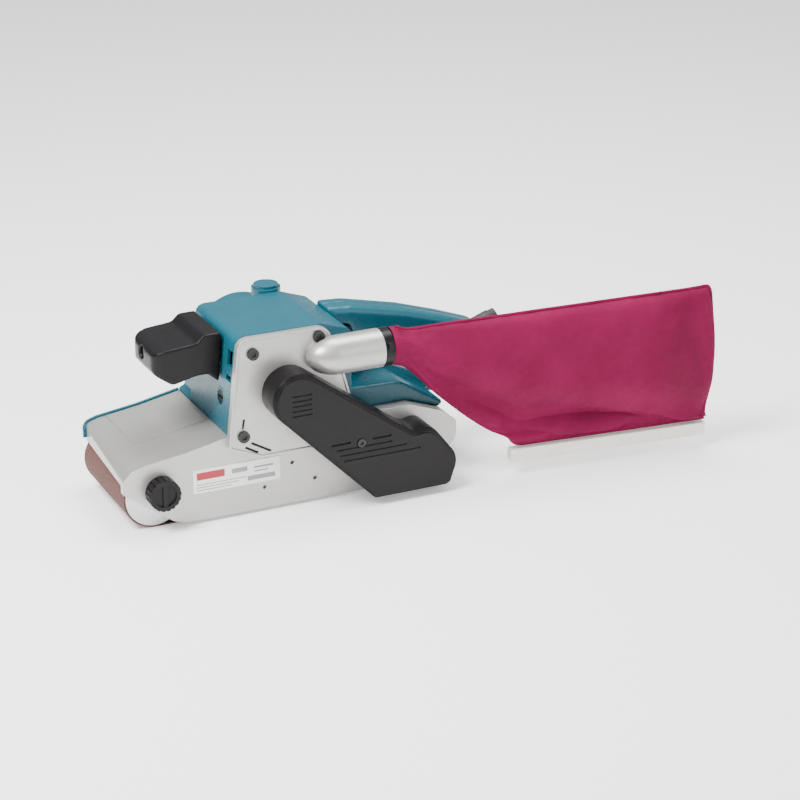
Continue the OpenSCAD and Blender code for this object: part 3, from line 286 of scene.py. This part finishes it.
def slot_floor_y():
    """Where the floors of the drive plate's slots lie, under the face that its screws' heads stand on."""
    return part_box("plate_screws")[0].y + SCREW_HEAD + SLOT_DEPTH


def painted_casting(name, colour, rough, slot_shade_floor_y=None):
    """Silver paint over a casting: flake, faint clouding, orange peel, worn edges and, when a slot floor depth is
    given, painted shade on the slot floors.
    """
    g = Graph(name)
    tone = g.mottled(g.noise(2600.0, 2.0, 0.7), colour, 0.94, 1.05)
    cloud = g.spread(g.noise(22.0), 0.0, 1.0)
    tone = g.blend(cloud, tone, shade(colour, 0.97))
    soft = rounded_normal(g, 0.9)
    tone = worn_edges(g, tone, shade(colour, 1.25), 0.5, soft)
    if slot_shade_floor_y is not None:
        # Painted shade: outward-facing faces at the slot floors' depth turn black, as the shade inside
        # through-slots would look
        depth = g.add("ShaderNodeSeparateXYZ", Vector=g.place).outputs["Y"]
        facing = g.tree.nodes.new("ShaderNodeNewGeometry").outputs["True Normal"]
        from_floor = g.math("ABSOLUTE", g.math("SUBTRACT", depth, slot_shade_floor_y), 0.0)
        near_floor = g.math("LESS_THAN", from_floor, FLOOR_TOLERANCE)
        outward = g.math("LESS_THAN", g.add("ShaderNodeSeparateXYZ", Vector=facing).outputs["Y"], -0.5)
        tone = g.blend(g.math("MULTIPLY", near_floor, outward), tone, SLOT_SHADE_BLACK)
    peel = g.bump(g.noise(420.0, 3.0), 0.10, 0.0004, soft)
    return g.finish(tone, g.spread(g.noise(130.0), rough - 0.05, rough + 0.05), peel, Metallic=0.62)


def machined(name, colour, rough, metallic=1.0):
    """Turned or ground metal with fine scratches round the Y axis."""
    g = Graph(name)
    stretch = g.add("ShaderNodeMapping", Vector=g.place)
    stretch.inputs["Scale"].default_value = (300.0, 4000.0, 300.0)
    scratches = g.add("ShaderNodeTexNoise", Vector=stretch.outputs["Vector"], Scale=1.0, Detail=3.0)
    lines = scratches.outputs["Fac"]
    tone = g.mottled(lines, colour, 0.86, 1.08)
    normal = g.bump(lines, 0.12, 0.0001, rounded_normal(g, 0.3))
    return g.finish(tone, g.spread(lines, rough - 0.06, rough + 0.1), normal, Metallic=metallic)


def grit(name):
    """Abrasive cloth: resin-bound grain over a red-brown ground."""
    g = Graph(name)
    cells = g.add("ShaderNodeTexVoronoi", Vector=g.place, Scale=1500.0)
    grains = g.spread(cells.outputs["Distance"], 1.0, 0.0)
    tone = g.blend(grains, (0.06, 0.022, 0.017, 1), (0.17, 0.075, 0.06, 1))
    tone = g.blend(g.spread(g.noise(60.0), 0.0, 0.5), tone, (0.10, 0.042, 0.034, 1))
    normal = g.bump(grains, 0.6, 0.0004)
    return g.finish(tone, g.spread(g.noise(500.0), 0.72, 0.95), normal)


def rubber(name, colour, rough=0.62):
    """Matt rubber or pressed carbon: uneven tone over a fine open grain."""
    g = Graph(name)
    tone = g.mottled(g.noise(70.0), colour, 0.8, 1.3)
    normal = g.bump(g.noise(1400.0), 0.25, 0.0002, rounded_normal(g, 0.5))
    return g.finish(tone, g.spread(g.noise(240.0), rough - 0.07, rough + 0.08), normal)


def laminated(name, colour):
    """Stacked sheets: fine lines across the shaft."""
    g = Graph(name)
    split = g.add("ShaderNodeSeparateXYZ", Vector=g.place).outputs["Y"]
    waves = g.math("SINE", g.math("MULTIPLY", split, SHEET_WAVES), 0.0)
    tone = g.mottled(waves, colour, 0.7, 1.15)
    return g.finish(tone, 0.45, g.bump(waves, 0.3, 0.0002), Metallic=0.8)


def woven(name, colour, lit):
    """Plain-weave bag cloth: two thread directions, slubs, and a painted highlight that lightens the crests of the
    folds.
    """
    g = Graph(name)
    split = g.add("ShaderNodeSeparateXYZ", Vector=g.place)
    wave_number = 2 * math.pi / THREAD_PITCH
    warp = g.math("SINE", g.math("MULTIPLY", split.outputs["X"], wave_number), 0.0)
    weft = g.math("SINE", g.math("MULTIPLY", split.outputs["Z"], wave_number), 0.0)
    weave = g.math("MULTIPLY", warp, weft)
    threads = g.math("ADD", weave, g.math("MULTIPLY", g.noise(900.0), 1.2))
    tone = g.blend(g.spread(g.noise(16.0, 4.0), 0.0, 1.0), shade(colour, 0.86), shade(lit, 1.0))
    tone = g.blend(g.spread(threads, 0.0, 0.22), tone, shade(colour, 0.62))
    # Painted highlight: convex fold crests are lightened towards a brighter copy of the lit colour
    convexity = g.tree.nodes.new("ShaderNodeNewGeometry").outputs["Pointiness"]
    ridge = g.tree.nodes.new("ShaderNodeMapRange")
    g.feed(ridge.inputs["Value"], convexity)
    ridge.inputs["From Min"].default_value = 0.50
    ridge.inputs["From Max"].default_value = 0.56
    tone = g.blend(g.math("MULTIPLY", ridge.outputs["Result"], 0.35), tone, shade(lit, 1.35))
    normal = g.bump(threads, 0.35, 0.0003, g.bump(g.noise(60.0, 5.0), 0.15, 0.002))
    return g.finish(tone, g.spread(g.noise(200.0), 0.70, 0.88), normal, Specular_IOR_Level=0.15)


def printed_label(name, low, high):
    """Blank rating label: white film, a plain red block at one corner and grey bars for its rows."""
    g = Graph(name)
    split = g.add("ShaderNodeSeparateXYZ", Vector=g.place)

    def band(axis, a, b):
        side = 0 if axis == "X" else 2
        start = low[side] + (high[side] - low[side]) * a
        end = low[side] + (high[side] - low[side]) * b
        above = g.math("GREATER_THAN", split.outputs[axis], start)
        below = g.math("LESS_THAN", split.outputs[axis], end)
        return g.math("MULTIPLY", above, below)

    def patch(x0, x1, z0, z1):
        return g.math("MULTIPLY", band("X", x0, x1), band("Z", z0, z1))

    tone = g.blend(g.spread(g.noise(50.0), 0.0, 1.0), (0.78, 0.78, 0.77, 1), (0.84, 0.84, 0.83, 1))
    tone = g.blend(patch(*LABEL_BLOCK), tone, (0.36, 0.008, 0.02, 1))
    for bar in LABEL_BARS:
        tone = g.blend(g.math("MULTIPLY", patch(*bar), 0.75), tone, (0.05, 0.05, 0.06, 1))
    return g.finish(tone, g.spread(g.noise(90.0), 0.28, 0.36))


SILVER = (0.44, 0.435, 0.425)
TEAL = (0.006, 0.083, 0.118)
BLACK = (0.004, 0.0032, 0.004)

silver_paint = painted_casting("silver_paint", SILVER, 0.36)
# The plate's material paints shade onto the floors of its slots
plate_paint = painted_casting("plate_paint", SILVER, 0.36, slot_floor_y())
grey_casting = painted_casting("grey_casting", (0.42, 0.42, 0.42), 0.55)
teal_plastic = moulded("teal_plastic", TEAL, 0.30, 420.0, 0.05)
black_plastic = moulded("black_plastic", BLACK, 0.34, 700.0, 0.15, 0.5, 0.2)
pale_plastic = moulded("pale_plastic", (0.80, 0.77, 0.70), 0.4, 420.0, 0.05, 0.2)
steel = machined("steel", (0.56, 0.56, 0.58), 0.3)
dark_steel = machined("dark_steel", (0.028, 0.027, 0.028), 0.38, 0.6)
brass = machined("brass", (0.72, 0.50, 0.22), 0.32)
copper = machined("copper", (0.62, 0.28, 0.13), 0.36)
carbon = rubber("carbon", (0.045, 0.045, 0.048), 0.5)
black_rubber = rubber("black_rubber", (0.020, 0.020, 0.021))
lamination = laminated("lamination", (0.30, 0.29, 0.29))
sanding_cloth = grit("sanding_cloth")
bag_cloth = woven("bag_cloth", (0.150, 0.002, 0.034), (0.205, 0.004, 0.052))
label = printed_label("label", *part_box("name_plate"))

BY_SLOT = {
    "silver_casting": silver_paint,
    "inner_casting": grey_casting,
    "teal_plastic": teal_plastic,
    "black_plastic": black_plastic,
    "pale_plastic": pale_plastic,
    "machined_steel": steel,
    "laminations": lamination,
    "brass": brass,
    "carbon": carbon,
    "black_rubber": black_rubber,
    "sanding_cloth": sanding_cloth,
    "bag_cloth": bag_cloth,
}
BY_NODE = {
    "drive_plate": plate_paint,
    "name_plate": label,
    "plate_screws": dark_steel,
    "cover_screw": dark_steel,
    "end_cap_screws": dark_steel,
    "handle_screws": dark_steel,
    "grip_screw": dark_steel,
    "field_coils": copper,
    "commutator": copper,
}
# Mouldings whose faces flow into each other: voxel size in millimetres and passes of smoothing
SOFT_SKIN = {
    "front_grip": (0.9, 14),
    "handle_left": (0.9, 18),
    "handle_right": (0.9, 18),
}


def shading_by_angle(limit):
    """Node group that shades smoothly except across edges sharper than the limit."""
    group = bpy.data.node_groups.new("shading_by_angle", "GeometryNodeTree")
    group.is_modifier = True
    group.interface.new_socket("Geometry", in_out="INPUT", socket_type="NodeSocketGeometry")
    group.interface.new_socket("Geometry", in_out="OUTPUT", socket_type="NodeSocketGeometry")
    start = group.nodes.new("NodeGroupInput")
    end = group.nodes.new("NodeGroupOutput")
    faces = group.nodes.new("GeometryNodeSetShadeSmooth")
    edges = group.nodes.new("GeometryNodeSetShadeSmooth")
    edges.domain = "EDGE"
    angle = group.nodes.new("GeometryNodeInputMeshEdgeAngle")
    sharp = group.nodes.new("FunctionNodeCompare")
    sharp.operation = "GREATER_THAN"
    sharp.inputs[1].default_value = limit
    edges.inputs["Shade Smooth"].default_value = False
    link = group.links.new
    link(start.outputs[0], faces.inputs["Geometry"])
    link(faces.outputs[0], edges.inputs["Geometry"])
    link(angle.outputs["Unsigned Angle"], sharp.inputs[0])
    link(sharp.outputs[0], edges.inputs["Selection"])
    link(edges.outputs[0], end.inputs[0])
    return group


# Edges sharper than this stay crisp, and vertices closer than this count as one
CRISP_ANGLE = math.radians(28)
WELD_DISTANCE = 0.02 * MM

by_angle = shading_by_angle(CRISP_ANGLE)


def dress_node(name, obj, slot_of):
    """Gives a CAD node its material, and its shading by modifiers that leave its own vertices in place."""
    material = BY_NODE.get(name, BY_SLOT[slot_of[name]])
    obj.data.materials.clear()
    obj.data.materials.append(material)
    for face in obj.data.polygons:
        face.material_index = 0
    if name in SOFT_SKIN:
        voxel_mm, passes = SOFT_SKIN[name]
        skin = obj.modifiers.new("skin", "REMESH")
        skin.mode = "VOXEL"
        skin.voxel_size = voxel_mm * MM
        skin.use_smooth_shade = True
        ease = obj.modifiers.new("ease", "SMOOTH")
        ease.factor = 0.5
        ease.iterations = passes
        return
    weld = obj.modifiers.new("weld", "WELD")
    weld.merge_threshold = WELD_DISTANCE
    shading = obj.modifiers.new("shading", "NODES")
    shading.node_group = by_angle


slot_of = {part["node"]: part["material_slot"] for part in frame["record"]["subparts"]}
for node_name, node_object in frame["nodes"].items():
    dress_node(node_name, node_object, slot_of)

# ---- Shapes ----


def clamp(t):
    return max(0.0, min(1.0, t))


def smooth_step(t):
    t = clamp(t)
    return t * t * (3 - 2 * t)


def mix(a, b, t):
    return a + (b - a) * t


def joint_named(name):
    return next(joint for joint in frame["joints"] if joint["name"] == name)


def join_loops(mesh, loops):
    """Faces between each closed loop of vertices and the next one."""
    sides = len(loops[0])
    for one, two in zip(loops, loops[1:]):
        for k in range(sides):
            j = (k + 1) % sides
            mesh.faces.new((one[k], one[j], two[j], two[k]))


def cap_ends(mesh, loops):
    mesh.faces.new(loops[0])
    mesh.faces.new(list(reversed(loops[-1])))


def mesh_object(name, mesh):
    """New object from a bmesh, with its faces turned one way and shaded smoothly."""
    bmesh.ops.recalc_face_normals(mesh, faces=mesh.faces)
    data = bpy.data.meshes.new(name)
    mesh.to_mesh(data)
    mesh.free()
    for face in data.polygons:
        face.use_smooth = True
    made = bpy.data.objects.new(name, data)
    bpy.context.scene.collection.objects.link(made)
    return made


def subdivide(obj, levels):
    round_off = obj.modifiers.new("round", "SUBSURF")
    round_off.levels = levels
    round_off.render_levels = levels


# ---- Dust bag ----

BAG_RINGS = 56
BAG_SIDES = 44
# The bag leans away from the machine's middle line, as it does in the photograph
BAG_YAW = math.radians(5.5)
MOUTH_RADIUS = 0.0155
HALF_THICKNESS = 0.021
# Where the sack starts and stops: behind the collar, over the rail, over and short of its CAD solid
MOUTH_GAP = 0.6 * MM
FOOT_GAP = 0.0008
TOP_OVER = 0.006
BACK_SHORT = 0.004
# The foot reaches the rail this far behind the rail's front end
FOOT_REACH = 0.004
# The cloth is held this far from the mouth and this far up from the rail
HELD_MOUTH = 0.006
HELD_FOOT = 0.004
# How far the full end bows out behind its own corners
END_BOW = 0.010
# Depth of the broad hollows and of the folds that run up from the rail
HOLLOW_DEPTH = 0.0045
FOLD_DEPTH = 0.0055
# The cloth settles for this many frames, and no point ends further than this from the smooth sack
CLOTH_FRAMES = 24
SHIFT_CAP = 0.009
SEAM_HALF_THICKNESS = 0.0009
SEAM_HEIGHT = 0.0022
SEAM_SUNK = 0.0025


class Sack:
    """The bag's own frame and measures, taken from the collar, the rail and the bag's CAD solid."""

    def __init__(self):
        collar_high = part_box("bag_collar")[1]
        rail_low, rail_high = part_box("bag_rail")
        solid_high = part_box("dust_bag")[1]
        nozzle = joint_named("bag_swing")["pos_m"]
        self.mouth = Vector((collar_high.x + MOUTH_GAP, nozzle[1], nozzle[2]))
        self.along = Vector((math.cos(BAG_YAW), -math.sin(BAG_YAW), 0.0))
        self.across = Vector((math.sin(BAG_YAW), math.cos(BAG_YAW), 0.0))
        self.length = (solid_high.x - self.mouth.x) / self.along.x - BACK_SHORT
        self.top_z = solid_high.z + TOP_OVER
        self.foot_z = rail_high.z + FOOT_GAP
        # Share of the length at which the foot has come down to the rail
        self.foot_start = (rail_low.x + FOOT_REACH - self.mouth.x) / self.along.x / self.length

    def ring(self, u):
        """Points round the sack at this share of its length: round at first, then tall and flat."""
        # The top jumps up behind the collar and then rises steadily; the foot curves down to the rail
        climb = 0.5 * smooth_step(u / 0.05) + 0.5 * u
        top = mix(self.mouth.z + MOUTH_RADIUS, self.top_z, climb)
        descent = min(1.0, u / self.foot_start)
        low = mix(self.mouth.z - MOUTH_RADIUS, self.foot_z, descent ** 1.4)
        # It fills out over the first half and thins again towards the back
        grow = smooth_step(u / 0.45)
        thin = 1.0 - 0.45 * smooth_step((u - 0.82) / 0.18)
        thick = mix(MOUTH_RADIUS, HALF_THICKNESS, grow) * thin
        squareness = mix(1.0, 0.7, grow)
        folded_foot = mix(1.0, 0.1, smooth_step(descent))
        points = []
        for k in range(BAG_SIDES):
            a = 2 * math.pi * k / BAG_SIDES
            side, up = math.sin(a), math.cos(a)
            height = (up + 1) / 2
            pinch = mix(1.0, folded_foot, smooth_step(-up))
            offset = math.copysign(abs(side) ** squareness, side) * thick * pinch
            bow = END_BOW * smooth_step((u - 0.9) / 0.1) * math.sin(math.pi * height)
            rise = Vector((0, 0, mix(low, top, height) - self.mouth.z))
            points.append(self.mouth + self.along * (u * self.length + bow) + self.across * offset + rise)
        return points


def bag_object(sack):
    """Sack that is open at its mouth, by the collar, and closed at its back along an upright seam."""
    mesh = bmesh.new()
    loops = []
    for i in range(BAG_RINGS + 1):
        loops.append([mesh.verts.new(point) for point in sack.ring(i / BAG_RINGS)])
    join_loops(mesh, loops)
    # The faces of the back stop one corner short of the foot, which leaves an opening under 1 mm wide
    last = loops[-1]
    for k in range(BAG_SIDES // 2 - 1):
        corners = (last[-k % BAG_SIDES], last[-(k + 1) % BAG_SIDES], last[k + 1], last[k])
        mesh.faces.new(list(dict.fromkeys(corners)))
    return mesh_object("bag", mesh)


def crease(bag, sack):
    """Slight creases that start the cloth folding as a used bag does."""
    for v in bag.data.vertices:
        p = v.co
        s = (p - sack.mouth).dot(sack.along) / sack.length
        above_foot = p.z - sack.foot_z
        pull = smooth_step(above_foot / 0.03) * smooth_step(s / 0.12)
        side = 1 if (p - sack.mouth).dot(sack.across) > 0 else -1
        hollow = noise.noise(Vector((p.x * 13, side * 4.0, p.z * 15)))
        fold = noise.noise(Vector((p.x * 42 + p.z * 18, side * 9.0, p.z * 6)))
        low_down = 1.0 - 0.75 * smooth_step(above_foot / 0.085)
        depth = hollow * HOLLOW_DEPTH + fold * FOLD_DEPTH * low_down
        v.co += sack.across * (side * pull * depth)


def settle(bag, sack, rest):
    """Lets the sack settle as cloth under a little pressure, held at its mouth and in the rail."""
    hold = bag.vertex_groups.new(name="hold")
    for v in bag.data.vertices:
        near_mouth = (v.co - sack.mouth).dot(sack.along) < HELD_MOUTH
        in_rail = v.co.z < sack.foot_z + HELD_FOOT
        if near_mouth or in_rail:
            hold.add([v.index], 1.0, "REPLACE")
    cloth = bag.modifiers.new("cloth", "CLOTH")
    cloth.settings.quality = 6
    cloth.settings.mass = 0.25
    cloth.settings.tension_stiffness = 18
    cloth.settings.compression_stiffness = 18
    cloth.settings.shear_stiffness = 8
    cloth.settings.bending_stiffness = 0.35
    cloth.settings.vertex_group_mass = "hold"
    cloth.settings.use_pressure = True
    cloth.settings.uniform_pressure_force = 0.9
    cloth.settings.effector_weights.gravity = 0.5
    cloth.settings.shrink_min = -0.03
    cloth.collision_settings.use_collision = False
    cloth.point_cache.frame_start = 1
    cloth.point_cache.frame_end = 30
    scene = bpy.context.scene
    for step in range(1, CLOTH_FRAMES + 1):
        scene.frame_set(step)
    shaped = bag.evaluated_get(bpy.context.evaluated_depsgraph_get()).to_mesh()
    moved = [v.co.copy() for v in shaped.vertices]
    bag.modifiers.remove(cloth)
    scene.frame_set(1)
    for v, was, now in zip(bag.data.vertices, rest, moved):
        shift = now - was
        if shift.length > SHIFT_CAP:
            shift = shift.normalized() * SHIFT_CAP
        v.co = was + shift


def seam_line(bag):
    """Points of the seam and the way it stands at each: up along the top, then back down the rear."""
    place = [v.co for v in bag.data.vertices]
    back_row = BAG_RINGS * BAG_SIDES
    line = [(place[i * BAG_SIDES].copy(), Vector((0, 0, 1))) for i in range(1, BAG_RINGS + 1)]
    back = (place[back_row] - place[back_row - BAG_SIDES]).normalized()
    for k in range(2, BAG_SIDES // 2, 2):
        near = place[back_row + k]
        far = place[back_row + BAG_SIDES - k]
        line.append(((near + far) / 2, Vector((back.x, back.y, 0)).normalized()))
    return line


def make_seam(bag):
    """Folded seam that stands along the top of the bag and down its back."""
    line = seam_line(bag)
    mesh = bmesh.new()
    rows = []
    for i, (point, way) in enumerate(line):
        before = line[max(i - 1, 0)][0]
        after = line[min(i + 1, len(line) - 1)][0]
        side = (after - before).normalized().cross(way).normalized() * SEAM_HALF_THICKNESS
        ripple = 0.0007 * math.sin(i * 1.7) + 0.0004 * math.sin(i * 0.6)
        foot = point - way * SEAM_SUNK
        crest = point + way * (SEAM_HEIGHT + 0.4 * ripple)
        sway = side * (ripple / SEAM_HALF_THICKNESS)
        corners = (foot - side, crest - side + sway, crest + side + sway, foot + side)
        rows.append([mesh.verts.new(corner) for corner in corners])
    join_loops(mesh, rows)
    cap_ends(mesh, rows)
    seam = mesh_object("bag_seam", mesh)
    subdivide(seam, 1)
    seam.data.materials.append(bag_cloth)
    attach(seam, "bag")


def make_bag():
    sack = Sack()
    bag = bag_object(sack)
    rest = [v.co.copy() for v in bag.data.vertices]
    crease(bag, sack)
    settle(bag, sack, rest)
    smoother = bag.modifiers.new("smooth", "CORRECTIVE_SMOOTH")
    smoother.factor = 0.4
    smoother.iterations = 2
    smoother.use_only_smooth = True
    subdivide(bag, 2)
    bag.data.materials.append(bag_cloth)
    make_seam(bag)
    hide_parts("dust_bag")
    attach(bag, "bag")


make_bag()

# ---- Tension spring ----


def make_spring(turns, wire, steps, sides):
    """Coiled spring between the slider and the bridge, built once at the length of its CAD solid."""
    low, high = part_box("tension_spring")
    middle = (low + high) / 2
    radius = (high.z - low.z) / 2 - wire
    first, last = low.x + wire, high.x - wire
    mesh = bmesh.new()
    loops = []
    for i in range(turns * steps + 1):
        share = i / (turns * steps)
        a = 2 * math.pi * turns * share
        outward = Vector((0, math.cos(a), math.sin(a)))
        # The end turns lie flat, as ground spring ends do
        climb = (share - 0.1) / 0.8
        rise = smooth_step(climb) * 0.5 + 0.5 * clamp(climb)
        centre = Vector((mix(first, last, rise), middle.y, middle.z)) + outward * radius
        loop = []
        for k in range(sides):
            b = 2 * math.pi * k / sides
            rim = outward * (wire * math.cos(b))
            loop.append(mesh.verts.new(centre + rim + Vector((wire * math.sin(b), 0, 0))))
        loops.append(loop)
    join_loops(mesh, loops)
    cap_ends(mesh, loops)
    spring = mesh_object("coil_spring", mesh)
    spring.data.materials.append(steel)
    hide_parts("tension_spring")
    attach(spring, "frame")
    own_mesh(spring)


make_spring(turns=6, wire=1.0 * MM, steps=24, sides=10)
